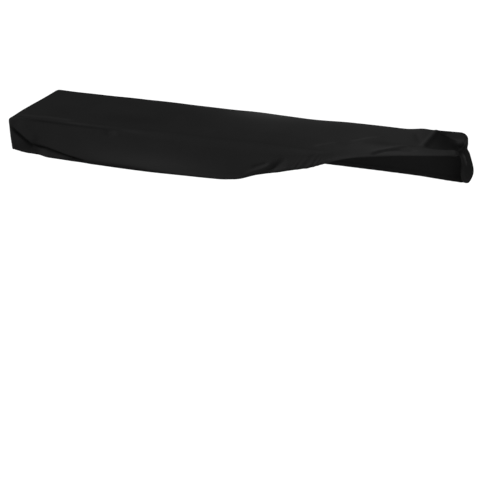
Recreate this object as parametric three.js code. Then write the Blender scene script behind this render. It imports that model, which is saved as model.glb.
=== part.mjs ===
// A long fitted dust cover of black stretch cloth, cut in one piece with a turned elastic hem.
// It is hollow and open below. Its right front corner is drawn up and back, so there the hem climbs
// slantwise up the front, runs along the top, and falls again to a narrow tail at the back corner.
// Millimetres, +Z up, +X along the length towards the raised corner, -Y to the front.
// The origin is at the middle of the flat underside of the top, where the cover is held.
import * as THREE from "three";

// Driving dimensions
const LENGTH = 1330;
const DEPTH = 285;
const TOP_FALL = 33; // how far the sloping top falls from its back edge to its front edge
const BACK_DROP = 140; // from the back edge down to the hem
const CLOTH = 2; // thickness of the sheet
const HEM = 3.6; // thickness of the turned hem
const HEM_HEIGHT = 12;
const EDGE_ROUND = 8; // rounding where the top turns down into a side
const SOFTEN = 12; // length over which the outline's corners and kinks are eased, either way

// How far in from an edge its own rise or dip still shows in the top
const FRONT_FADE = 70;
const RIGHT_FADE = 25;
const BACK_FADE = 45;

// The hollow behind the raised hem: a ramp that falls to the right from a leaning crease across the top,
// between the back of the roll along the raised edge and a steep wall under the back edge
const HOLLOW_LEFT = 583; // where the crease meets the wall, along the length
const HOLLOW_LEAN = 0.045; // how far the crease leans to the left for each step to the front
const HOLLOW_FALL = 0.37; // how far the ramp falls for each step to the right
const HOLLOW_DEPTH = 29; // the most that it falls
const ROLL_BACK = { at: -22, turn: -0.1, width: 20, spread: 0.5 }; // both grow with the way past the crease
const WALL = { at: 134, width: 9 }; // its top, and the width over which it falls

// Shares and steps
const ROUND_MOST = 0.45; // most of a section that the rounding of its edge takes
const HEM_MOST = 0.4; // most of a side that the hem takes
const END_REACH = 0.125; // share of the length over which the swell of an end fades out
const BELLY_LOW = 2; // power that brings the widest place of a side's swell lower down
const EASE_STEPS = [-1, -0.5, 0, 0.5, 1]; // where the easing looks at the outline, in lengths of SOFTEN
const FOLD_LEAST = 0.05; // a fold ends where it would move the cloth less than this

// Mesh cells
const ROUND_CELLS = 3; // in the rounding of an edge
const SIDE_CELLS = 6; // from the rounding down to the hem, which is the last of them

const HALF = LENGTH / 2;
const FRONT = -DEPTH / 2;
const BACK = DEPTH / 2;
const SLOPE = TOP_FALL / DEPTH;
const MIDDLE = (CLOTH / 2) * Math.hypot(1, SLOPE); // height of the sheet's middle over its underside
const EDGE = TOP_FALL / 2; // height of the back edge over the origin, and of the front edge under it
const BACK_HEM = EDGE - BACK_DROP; // height of the hem at the back

/** Turns rows of numbers into objects with named columns. */
function table(columns, rows) {
  return rows.map((row) => Object.fromEntries(columns.map((name, i) => [name, row[i]])));
}

// The outline, anticlockwise from the left front corner. A row is a section through an edge: the point
// where the top turns down, the hem's point under it, the edge's rounding, how far the side swells
// between them, and the number of mesh cells from this row to the next.
const SECTION = ["x", "y", "z", "hemX", "hemY", "hemZ", "round", "belly", "cells"];

const FRONT_RUN = table(SECTION, [
  [-HALF - 17, FRONT - 4, -EDGE - 8, -HALF - 4, FRONT - 5, -119, 12, 1, 2],
  [-HALF + 25, FRONT, -EDGE, -HALF + 34, FRONT - 3, -129, EDGE_ROUND, 4, 5],
  [-544, FRONT, -EDGE, -544, FRONT - 2, -130, EDGE_ROUND, 4, 4],
  [-392, FRONT, -EDGE, -392, FRONT - 1, -135, EDGE_ROUND + 4, 3, 2],
  [-215, FRONT, -EDGE, -215, FRONT, -136, EDGE_ROUND + 12, 3, 2],
  [-60, FRONT, -EDGE, -60, FRONT, -133, EDGE_ROUND + 16, 3, 1],
  [20, FRONT, -EDGE, 25, FRONT, -131, EDGE_ROUND + 16, 3, 2],
  [70, FRONT, -EDGE, 75, FRONT, -124, EDGE_ROUND + 16, 3, 3],
  [118, FRONT, -EDGE, 126, FRONT, -107, EDGE_ROUND + 16, 3, 3],
  [170, FRONT, -EDGE, 180, FRONT, -92, EDGE_ROUND + 16, 3, 3],
  [225, FRONT, -EDGE, 233, FRONT, -79, EDGE_ROUND + 12, 3, 3],
  [280, FRONT, -EDGE, 286, FRONT, -67, EDGE_ROUND + 8, 2, 2],
  [330, FRONT + 6, -16, 339, FRONT + 2, -46, EDGE_ROUND, 1, 2],
  [365, FRONT + 18, -14, 376, FRONT + 5, -32, EDGE_ROUND, 0, 2],
  [400, FRONT + 34, -12, 414, FRONT + 10, -24, EDGE_ROUND, 0, 2],
  [443, FRONT + 52, -9, 452, FRONT + 20, -19, EDGE_ROUND, 0, 2],
  [475, FRONT + 74, -7, 485, FRONT + 35, -16, EDGE_ROUND, 0, 2],
  [503, FRONT + 106, -3, 513, FRONT + 48, -14, EDGE_ROUND, 0, 2],
  [530, FRONT + 128, -1, 540, FRONT + 60, -13, EDGE_ROUND, 0, 3],
  [560, FRONT + 124, -2, 571, FRONT + 71, -12, EDGE_ROUND, 0, 5],
  [600, FRONT + 119, -3, 608, FRONT + 82, -10, EDGE_ROUND, 0, 6],
]);

const RIGHT_RUN = table(SECTION, [
  [HALF - 13, FRONT + 122, -2, HALF - 6, FRONT + 96, -8, EDGE_ROUND, 0, 2],
  [HALF + 8, FRONT + 143, -4, HALF + 15, FRONT + 110, -10, EDGE_ROUND, 0, 2],
  [HALF + 6, FRONT + 174, -13, HALF + 8, FRONT + 163, -19, EDGE_ROUND, 0, 2],
  [HALF + 3, FRONT + 202, -21, HALF + 2, FRONT + 203, -30, EDGE_ROUND, 0, 2],
  [HALF + 3, FRONT + 223, -22, HALF + 4, FRONT + 222, -44, EDGE_ROUND, 2, 2],
  [HALF + 3, FRONT + 238, -22, HALF + 6, FRONT + 226, -80, EDGE_ROUND, 5, 2],
  [HALF + 5, FRONT + 250, -20, HALF + 6, FRONT + 200, -99, EDGE_ROUND, 10, 2],
  [HALF + 6, FRONT + 262, -17, HALF + 9, FRONT + 262, -126, EDGE_ROUND, 13, 2],
  [HALF + 8, FRONT + 271, 1, HALF + 15, FRONT + 280, BACK_HEM - 3, 3, 15, 2],
]);

// The back and the left end take their cells from the front and the right end.
const BACK_RUN = table(SECTION, [
  [HALF + 6, BACK, 10, HALF + 20, BACK + 3, BACK_HEM + 1, 4, 16],
  [HALF - 4, BACK, EDGE + 2, HALF + 5, BACK + 3, BACK_HEM - 6, EDGE_ROUND, 15],
  [HALF - 50, BACK, EDGE + 1, HALF - 48, BACK + 3, BACK_HEM - 5, EDGE_ROUND, 6],
  [HALF - 104, BACK, EDGE, HALF - 104, BACK + 3, BACK_HEM - 2, EDGE_ROUND, 3],
  [HALF - 122, BACK, EDGE + 3, HALF - 122, BACK + 3, BACK_HEM - 1, EDGE_ROUND, 3],
  [HALF - 170, BACK, EDGE - 3, HALF - 170, BACK + 2, BACK_HEM, EDGE_ROUND, 3],
  [180, BACK, EDGE - 5, 180, BACK + 2, BACK_HEM + 2, EDGE_ROUND, 3],
  [-300, BACK, EDGE, -300, BACK + 2, BACK_HEM, EDGE_ROUND, 3],
]);

const LEFT_RUN = table(SECTION, [
  [-HALF, BACK, EDGE, -HALF - 2, BACK + 2, BACK_HEM - 2, EDGE_ROUND, 4],
  [-HALF - 3, 0, 1, -HALF - 3, 0, BACK_HEM + 1, EDGE_ROUND, 3],
  [-HALF - 6, FRONT / 2, -11, -HALF - 2, FRONT / 2, BACK_HEM + 3, EDGE_ROUND, 2],
]);

// The main folds, each a soft ridge (or a trough, where its height is below zero) along a path of points.
const FOLDS = [
  // The gather at the left front corner: a slanting trough, with a hollow under it and a ridge over it
  { width: 11, height: -7, path: [[-HALF - 10, FRONT, -40], [-596, FRONT, -98], [-440, FRONT, -126]] },
  { width: 30, height: -8, path: [[-655, FRONT, -132], [-560, FRONT, -138]] },
  { width: 16, height: 2, path: [[-650, FRONT, -28], [-575, FRONT, -84]] },
  // The folds that fan out from where the hem lifts
  { width: 9, height: -4, path: [[82, FRONT, -120], [166, FRONT, -86], [222, FRONT, -48]] },
  { width: 8, height: 3, path: [[90, FRONT, -109], [146, FRONT, -83], [182, FRONT, -64]] },
  { width: 8, height: -2, path: [[112, FRONT, -85], [168, FRONT, -64]] },
  { width: 8, height: 2, path: [[178, FRONT, -89], [230, FRONT, -69]] },
  // The soft ridges that slant over the top from there
  { width: 12, height: 2, path: [[284, -104, -12], [323, -66, -8], [350, -50, -6]] },
  { width: 12, height: 2.4, path: [[366, -38, -5], [405, -2, 0], [452, 36, 4]] },
  // The ridge along the hollow's crease
  { width: 8, height: 3, path: [[572, -8, -1], [579, 142, 16]] },
  // The roll along the raised front edge, and the trough in front of it
  { width: 10, height: 3.5, path: [[442, -104, -11], [481, -75, -8], [528, -25, -2], [560, -16, -2]] },
  { width: 10, height: -3, path: [[452, -114, -12], [476, -88, -9], [519, -55, -5], [571, -40, -4]] },
  // The neck over the tail, and the ridge and the crease that slant down the tail
  { width: 10, height: -3, path: [[HALF + 8, 104, -21], [HALF + 7, BACK, -26]] },
  { width: 6, height: 4, path: [[HALF + 4, 74, -27], [HALF + 11, 94, -42], [HALF + 18, 99, -70]] },
  { width: 6, height: -4, path: [[HALF + 4, 105, -23], [HALF + 10, 107, -40], [HALF + 15, 108, -58]] },
];

const rows = [...FRONT_RUN, ...RIGHT_RUN, ...BACK_RUN, ...LEFT_RUN].map((row) => ({
  edge: new THREE.Vector3(row.x, row.y, row.z + MIDDLE),
  hem: new THREE.Vector3(row.hemX, row.hemY, row.hemZ),
  round: row.round,
  belly: row.belly,
}));
const FRONT_RIGHT = FRONT_RUN.length; // the rows at the corners of the outline
const BACK_RIGHT = FRONT_RIGHT + RIGHT_RUN.length;
const BACK_LEFT = BACK_RIGHT + BACK_RUN.length;

// How far along the outline each row lies, measured on the edge in plan, and the whole way round
const rowAt = [0];
rows.forEach((row, i) => {
  const next = rows[(i + 1) % rows.length].edge;
  rowAt.push(rowAt[i] + Math.hypot(next.x - row.edge.x, next.y - row.edge.y));
});
const AROUND = rowAt.at(-1);

/** The section at a distance along the outline, straight from row to row. */
function sectionAt(distance) {
  const d = THREE.MathUtils.euclideanModulo(distance, AROUND);
  const i = rowAt.findIndex((start, k) => d >= start && d < rowAt[k + 1]);
  const a = rows[i];
  const b = rows[(i + 1) % rows.length];
  const f = (d - rowAt[i]) / (rowAt[i + 1] - rowAt[i]);
  return {
    edge: a.edge.clone().lerp(b.edge, f),
    hem: a.hem.clone().lerp(b.hem, f),
    round: THREE.MathUtils.lerp(a.round, b.round, f),
    belly: THREE.MathUtils.lerp(a.belly, b.belly, f),
  };
}

/** The section eased over the length SOFTEN either way, so that corners and kinks become curves. */
function easedAt(distance) {
  const eased = { edge: new THREE.Vector3(), hem: new THREE.Vector3(), round: 0, belly: 0 };
  for (const step of EASE_STEPS) {
    const section = sectionAt(distance + step * SOFTEN);
    eased.edge.addScaledVector(section.edge, 1 / EASE_STEPS.length);
    eased.hem.addScaledVector(section.hem, 1 / EASE_STEPS.length);
    eased.round += section.round / EASE_STEPS.length;
    eased.belly += section.belly / EASE_STEPS.length;
  }
  return eased;
}

/** A station of the outline: its eased section, the direction out of the cover, and the edge of its top. */
function station(distance) {
  const section = easedAt(distance);
  const step = easedAt(distance + SOFTEN).edge.sub(easedAt(distance - SOFTEN).edge);
  const out = new THREE.Vector3(step.y, -step.x, 0).normalize();
  const round = Math.min(section.round, ROUND_MOST * section.edge.distanceTo(section.hem));
  const rim = section.edge.clone().addScaledVector(out, -round);
  return { ...section, round, out, rim };
}

/** The distances of the mesh columns from one row of the outline to another. */
function columns(firstRow, run) {
  const distances = [];
  run.forEach((row, i) => {
    const start = rowAt[firstRow + i];
    const length = rowAt[firstRow + i + 1] - start;
    for (let k = 0; k < row.cells; k += 1) distances.push(start + (length * k) / row.cells);
  });
  return distances;
}

const frontAt = [...columns(0, FRONT_RUN), rowAt[FRONT_RIGHT]];
const rightAt = [...columns(FRONT_RIGHT, RIGHT_RUN), rowAt[BACK_RIGHT]];
const LONG_CELLS = frontAt.length - 1;
const END_CELLS = rightAt.length - 1;
const frontStations = frontAt.map(station);
const rightStations = rightAt.map(station);
const backStations = frontAt.map((distance) => {
  const along = THREE.MathUtils.mapLinear(
    sectionAt(distance).edge.x,
    rows[0].edge.x,
    rows[FRONT_RIGHT].edge.x,
    rows[BACK_LEFT].edge.x,
    rows[BACK_RIGHT].edge.x,
  );
  return station(rowAt[BACK_RIGHT] + rows[BACK_RIGHT].edge.x - along);
});
const leftStations = rightAt.map((_, j) =>
  station(THREE.MathUtils.lerp(AROUND, rowAt[BACK_LEFT], j / END_CELLS)),
);

/** One at zero, easing down to none at one and beyond. */
function fade(value) {
  return 1 - THREE.MathUtils.smoothstep(value, 0, 1);
}

/** How far the hollow behind the raised hem sinks the top at a point. */
function hollowDepth(x, y) {
  const fromWall = WALL.at - y;
  const past = Math.max(x - HOLLOW_LEFT + HOLLOW_LEAN * fromWall, 0);
  const fromRoll = y - ROLL_BACK.at - ROLL_BACK.turn * past;
  const roll = THREE.MathUtils.smoothstep(fromRoll, 0, ROLL_BACK.width + ROLL_BACK.spread * past);
  const wall = THREE.MathUtils.smoothstep(fromWall, 0, WALL.width);
  return Math.min(HOLLOW_FALL * past, HOLLOW_DEPTH) * roll * wall;
}

/** The height of the top at a point, before the rise or dip of its edges. */
function topHeight(x, y) {
  return MIDDLE + SLOPE * y - hollowDepth(x, y);
}

const points = [];
const faces = [];

/** Adds a four-sided cell as two triangles, cut along its shorter diagonal. */
function addCell(a, b, c, d) {
  if (points[a].distanceTo(points[c]) <= points[b].distanceTo(points[d])) faces.push([a, b, c], [a, c, d]);
  else faces.push([a, b, d], [b, c, d]);
}

// The top: each row of cells runs from the left end to the right end, each column from front to back.
const last = { i: LONG_CELLS, j: END_CELLS };
const flat = (a, b, f) => a.rim.clone().lerp(b.rim, f);
const overTop = ({ edge, rim }) => edge.z - topHeight(rim.x, rim.y);
for (let j = 0; j <= last.j; j += 1) {
  const right = rightStations[j];
  const leftShare = j / last.j;
  const rightShare = (rightAt[j] - rightAt[0]) / (rightAt[last.j] - rightAt[0]);
  const leftSwell = leftStations[j].rim.clone().sub(flat(frontStations[0], backStations[0], leftShare));
  const rightSwell = right.rim.clone().sub(flat(frontStations[last.i], backStations[last.i], rightShare));
  const row = frontStations.map((front, i) => {
    const back = backStations[i];
    const s = (frontAt[i] - frontAt[0]) / (frontAt[last.i] - frontAt[0]);
    const point = flat(front, back, THREE.MathUtils.lerp(leftShare, rightShare, s));
    point.addScaledVector(leftSwell, fade(s / END_REACH));
    point.addScaledVector(rightSwell, fade((1 - s) / END_REACH));
    point.z =
      topHeight(point.x, point.y) +
      overTop(front) * fade((point.y - front.rim.y) / FRONT_FADE) +
      overTop(back) * fade((back.rim.y - point.y) / BACK_FADE);
    return point;
  });
  const missing = right.edge.z - row[last.i].z;
  for (const point of row) point.z += missing * fade((right.rim.x - point.x) / RIGHT_FADE);
  points.push(...row);
}
const topIndex = (i, j) => j * (last.i + 1) + i;
for (let j = 0; j < last.j; j += 1) {
  for (let i = 0; i < last.i; i += 1) {
    addCell(topIndex(i, j), topIndex(i + 1, j), topIndex(i + 1, j + 1), topIndex(i, j + 1));
  }
}

// The sides: a ring of columns, each from the rim of the top round the edge and down to the hem.
const ring = [
  ...frontStations.slice(0, -1).map((at, i) => ({ at, top: topIndex(i, 0) })),
  ...rightStations.slice(0, -1).map((at, j) => ({ at, top: topIndex(last.i, j) })),
  ...backStations.slice(1).map((at, i) => ({ at, top: topIndex(i + 1, last.j) })).reverse(),
  ...leftStations.slice(1).map((at, j) => ({ at, top: topIndex(0, j + 1) })).reverse(),
];
const hemIndices = [];
const thickHem = new Set();
for (const column of ring) {
  const { edge, hem, round, belly, out } = column.at;
  const rim = points[column.top];
  const fall = hem.clone().sub(edge);
  const length = fall.length();
  const foot = edge.clone().addScaledVector(fall, round / length);
  const bend = new THREE.QuadraticBezierCurve3(rim, edge, foot);
  column.indices = [column.top];
  for (let k = 1; k <= ROUND_CELLS; k += 1) {
    column.indices.push(points.length);
    points.push(bend.getPoint(k / ROUND_CELLS));
  }
  const hemShare = 1 - Math.min(HEM_HEIGHT / (length - round), HEM_MOST);
  for (let k = 1; k <= SIDE_CELLS; k += 1) {
    const share = k < SIDE_CELLS ? (hemShare * k) / (SIDE_CELLS - 1) : 1;
    const point = foot.clone().lerp(hem, share);
    point.addScaledVector(out, belly * Math.sin(Math.PI * share ** BELLY_LOW));
    if (k >= SIDE_CELLS - 1) thickHem.add(points.length);
    column.indices.push(points.length);
    points.push(point);
  }
  hemIndices.push(points.length - 1);
}
ring.forEach((column, k) => {
  const next = ring[(k + 1) % ring.length];
  for (let r = 0; r < ROUND_CELLS + SIDE_CELLS; r += 1) {
    addCell(column.indices[r], column.indices[r + 1], next.indices[r + 1], next.indices[r]);
  }
});

/** The direction out of the sheet at each of its points, from the faces that meet there. */
function outwardDirections() {
  const directions = points.map(() => new THREE.Vector3());
  for (const face of faces) {
    const [a, b, c] = face.map((index) => points[index]);
    const normal = b.clone().sub(a).cross(c.clone().sub(a));
    face.forEach((index) => directions[index].add(normal));
  }
  return directions.map((direction) => direction.normalize());
}

/** The least distance from a point to a path. */
function pathDistance(point, path) {
  const stops = path.map((stop) => new THREE.Vector3(...stop));
  const distances = stops.slice(1).map((stop, k) => {
    const line = new THREE.Line3(stops[k], stop);
    return point.distanceTo(line.closestPointToPoint(point, true, new THREE.Vector3()));
  });
  return Math.min(...distances);
}

/** How far the folds raise or sink the cloth at a point. */
function foldHeight(point) {
  let height = 0;
  for (const fold of FOLDS) {
    height += fold.height * Math.exp(-((pathDistance(point, fold.path) / fold.width) ** 2));
  }
  return height;
}

const smooth = outwardDirections();
points.forEach((point, i) => {
  const height = foldHeight(point);
  if (Math.abs(height) > FOLD_LEAST) point.addScaledVector(smooth[i], height);
});

// The sheet gets its thickness either side of these points, and is closed along the hem.
const directions = outwardDirections();
const halfThickness = (i) => (thickHem.has(i) ? HEM : CLOTH) / 2;
const outer = points.map((point, i) => point.clone().addScaledVector(directions[i], halfThickness(i)));
const inner = points.map((point, i) => point.clone().addScaledVector(directions[i], -halfThickness(i)));
const inside = points.length; // the inner points follow the outer ones
const triangles = [
  ...faces,
  ...faces.map(([a, b, c]) => [inside + a, inside + c, inside + b]),
  ...hemIndices.flatMap((a, k) => {
    const b = hemIndices[(k + 1) % hemIndices.length];
    return [
      [a, inside + a, inside + b],
      [a, inside + b, b],
    ];
  }),
];

const geometry = new THREE.BufferGeometry().setFromPoints([...outer, ...inner]);
geometry.setIndex(triangles.flat());
geometry.computeVertexNormals();

const cloth = new THREE.MeshStandardMaterial({ color: 0x17171a, roughness: 0.85, metalness: 0 });
const cover = new THREE.Mesh(geometry, cloth);
cover.name = "cover";

const object = new THREE.Group();
object.add(cover);
export default object;
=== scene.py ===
"""A long fitted dust cover of black stretch cloth, dressed for rendering.

The cover is cut in one piece with a turned elastic hem, and is hollow and open below. Its right front
corner is drawn up and back, so there the hem climbs slantwise up the front, runs along the top and falls
again to a narrow tail at the back corner. The frame is in metres, with +Z up, +X along the length towards
the raised corner and -Y to the front. Shapes are worked out in millimetres and scaled once, at the end.
"""
from __future__ import annotations

import logging
import math
from dataclasses import dataclass, field
from enum import Enum
from typing import Any

import bpy
import numpy as np
from mathutils import Matrix, Vector

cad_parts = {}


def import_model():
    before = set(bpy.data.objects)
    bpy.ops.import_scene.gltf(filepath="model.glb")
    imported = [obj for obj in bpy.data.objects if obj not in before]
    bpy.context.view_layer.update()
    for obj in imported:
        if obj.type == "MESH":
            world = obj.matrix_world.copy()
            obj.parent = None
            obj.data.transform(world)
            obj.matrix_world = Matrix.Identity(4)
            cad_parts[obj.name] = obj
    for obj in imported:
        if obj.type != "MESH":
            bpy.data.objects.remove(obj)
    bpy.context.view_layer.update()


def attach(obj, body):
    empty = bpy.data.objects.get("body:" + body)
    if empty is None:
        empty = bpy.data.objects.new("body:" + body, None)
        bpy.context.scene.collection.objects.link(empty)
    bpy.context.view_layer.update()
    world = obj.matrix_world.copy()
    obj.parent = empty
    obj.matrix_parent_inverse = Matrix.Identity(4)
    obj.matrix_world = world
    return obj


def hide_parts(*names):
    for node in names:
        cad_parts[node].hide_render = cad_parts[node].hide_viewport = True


log = logging.getLogger("dust_cover")

MM = 0.001

Array = np.ndarray
Row = tuple[float, ...]
Point = tuple[float, float, float]
Colour = tuple[float, float, float]

TINY = 1e-12


def smoothstep(value: Array, start: float | Array, end: float | Array) -> Array:
    """None before the start, one after the end, and 3t^2 - 2t^3 of the share t between them."""
    share = np.clip((value - start) / (end - start), 0.0, 1.0)
    return share * share * (3.0 - 2.0 * share)


def fade(value: Array) -> Array:
    """One at zero, easing down to none at one and beyond."""
    return 1.0 - smoothstep(value, 0.0, 1.0)


def unit(vectors: Array) -> Array:
    """The vectors, each divided by its own length."""
    return vectors / np.maximum(np.linalg.norm(vectors, axis=-1, keepdims=True), TINY)


class Side(Enum):
    """The sides of the cover, anticlockwise from the left front corner."""

    FRONT = "front"
    RIGHT = "right"
    BACK = "back"
    LEFT = "left"


class Face(Enum):
    """The faces of the cover that folds lie on, each with the direction out of it."""

    TOP = (0.0, 0.0, 1.0)
    FRONT = (0.0, -1.0, 0.0)
    END = (1.0, 0.0, 0.0)


@dataclass(frozen=True)
class CoverSizes:
    """The driving sizes of the cover, in millimetres."""

    length: float = 1330.0
    depth: float = 285.0
    top_fall: float = 33.0
    back_drop: float = 140.0
    cloth: float = 2.0
    hem: float = 3.6
    hem_height: float = 12.0
    edge_round: float = 8.0
    soften: float = 12.0
    front_fade: float = 70.0
    right_fade: float = 25.0
    back_fade: float = 45.0

    @property
    def half(self) -> float:
        """Half of the length."""
        return self.length / 2

    @property
    def front(self) -> float:
        """Where the front edge lies, along Y."""
        return -self.depth / 2

    @property
    def back(self) -> float:
        """Where the back edge lies, along Y."""
        return self.depth / 2

    @property
    def slope(self) -> float:
        """How far the top rises for each step to the back."""
        return self.top_fall / self.depth

    @property
    def middle(self) -> float:
        """The height of the sheet's middle over its underside."""
        return self.cloth / 2 * math.hypot(1.0, self.slope)

    @property
    def edge(self) -> float:
        """The height of the back edge over the origin, and of the front edge under it."""
        return self.top_fall / 2


@dataclass(frozen=True)
class Hollow:
    """The hollow behind the raised hem: a ramp that falls to the right, in millimetres.

    It starts at a slightly leaning crease across the top, and lies between the back of the roll along the
    raised edge and a steep wall under the back edge.
    """

    left: float = 583.0
    lean: float = 0.045
    fall: float = 0.37
    depth: float = 29.0
    front_at: float = -22.0
    front_turn: float = -0.1
    front_width: float = 20.0
    front_spread: float = 0.5
    back_at: float = 134.0
    back_width: float = 9.0

    def sink(self, x: Array, y: Array) -> Array:
        """How far the hollow sinks the top.

        The ramp's fall, which grows evenly from the crease, times two smooth walls: one behind the roll,
        which widens to the right, and one under the back edge.

        Args:
            x: Places along the length.
            y: Places from front to back.

        Returns:
            The depth at each place.
        """
        from_back = self.back_at - y
        past = np.maximum(x - self.left + self.lean * from_back, 0.0)
        from_front = y - self.front_at - self.front_turn * past
        front = smoothstep(from_front, 0.0, self.front_width + self.front_spread * past)
        back = smoothstep(from_back, 0.0, self.back_width)
        return np.minimum(self.fall * past, self.depth) * front * back


@dataclass(frozen=True)
class Fold:
    """A soft ridge along a path on one face, or a trough where its height is below zero, in millimetres.

    The cloth rises by height * exp(-(distance / width)^2), eased to nothing at both ends of the path and
    where the cloth turns away from the face. Distances are measured square to the face's own direction.
    Its last setting is how much light it paints into the cloth's colour where the rise is as great as the
    width: painted light on ridges, painted shade in troughs.
    """

    face: Face
    path: tuple[Point, ...]
    width: float
    height: float
    ends: float = 0.25
    tone: float = 0.25

    FACING = (0.1, 0.6)

    def lift(self, points: Array, directions: Array) -> Array:
        """How far the fold raises the cloth.

        Args:
            points: Places on the cloth, one a row.
            directions: The direction out of the cloth at each of them.

        Returns:
            The rise at each place, along the cloth's own outward direction.
        """
        out = np.array(self.face.value)
        flat = np.eye(3) - np.outer(out, out)
        stops = np.array(self.path) @ flat
        places = points @ flat
        lengths = np.linalg.norm(np.diff(stops, axis=0), axis=1)
        starts = np.concatenate([[0.0], np.cumsum(lengths)])
        nearest = np.full(len(points), np.inf)
        share = np.zeros(len(points))
        for start, stop, length, before in zip(stops, stops[1:], lengths, starts):
            along = np.clip((places - start) @ (stop - start) / length**2, 0.0, 1.0)
            offset = places - start - along[:, None] * (stop - start)
            distance = np.linalg.norm(offset, axis=1)
            closer = distance < nearest
            nearest = np.where(closer, distance, nearest)
            share = np.where(closer, (before + along * length) / starts[-1], share)
        ease = smoothstep(share, 0.0, self.ends) * smoothstep(1.0 - share, 0.0, self.ends)
        facing = smoothstep(directions @ out, *self.FACING)
        return self.height * ease * facing * np.exp(-((nearest / self.width) ** 2))


@dataclass(frozen=True)
class Pucker:
    """A row of small slanting gathers over a stretch of the front hem, in millimetres.

    They rise by height * sin(2 pi u + wander * sin(u)), where u = (x - slant * rise) / pitch and rise is the
    height over the hem's edge. They are eased in and out along x, and die out upwards as exp(-rise / reach).
    """

    start: float
    end: float
    pitch: float
    height: float
    reach: float
    slant: float
    wander: float

    def lift(self, x: Array, rise: Array) -> Array:
        """How far the gathers move the cloth outwards at places along x and heights over the hem's edge."""
        quarter = (self.end - self.start) / 4
        ease = smoothstep(x - self.start, 0.0, quarter) * smoothstep(self.end - x, 0.0, quarter)
        turns = (x - self.slant * rise) / self.pitch
        wave = np.sin(2.0 * math.pi * turns + self.wander * np.sin(turns))
        return self.height * ease * wave * np.exp(-rise / self.reach)


@dataclass(frozen=True)
class Wave:
    """A long low swell of the cloth: height * sin(2 pi (distance along its heading / length) + phase)."""

    heading: Point
    length: float
    height: float
    phase: float

    def lift(self, points: Array) -> Array:
        """How far the swell raises the cloth at each of the points, in millimetres."""
        along = points @ np.array(self.heading) / np.linalg.norm(self.heading)
        return self.height * np.sin(2.0 * math.pi * along / self.length + self.phase)


@dataclass(frozen=True)
class PaintedLightPatch:
    """A patch of painted light on the cloth's colour, or of painted shade where its amount is below zero."""

    centre: Point
    reach: Point
    amount: float

    def at(self, points: Array) -> Array:
        """The painted light that the patch adds at each point, painted shade where below zero: amount *
        exp(-|(point - centre) / reach|^2).
        """
        offset = (points - np.array(self.centre)) / np.array(self.reach)
        return self.amount * np.exp(-np.sum(offset**2, axis=1))


@dataclass
class Stations:
    """Sections through the edge of the cover, one a row, in millimetres."""

    along: Array
    edge: Array
    hem: Array
    rounding: Array
    belly: Array
    out: Array
    rim: Array

    def taken(self, rows: slice) -> Stations:
        """The stations of some of the rows, in the order that the slice gives."""
        return Stations(*(getattr(self, name)[rows] for name in self.__dataclass_fields__))

    @staticmethod
    def joined(parts: list[Stations]) -> Stations:
        """All the stations of the parts, one part after another."""
        names = Stations.__dataclass_fields__
        return Stations(*(np.concatenate([getattr(part, name) for part in parts]) for name in names))


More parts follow.
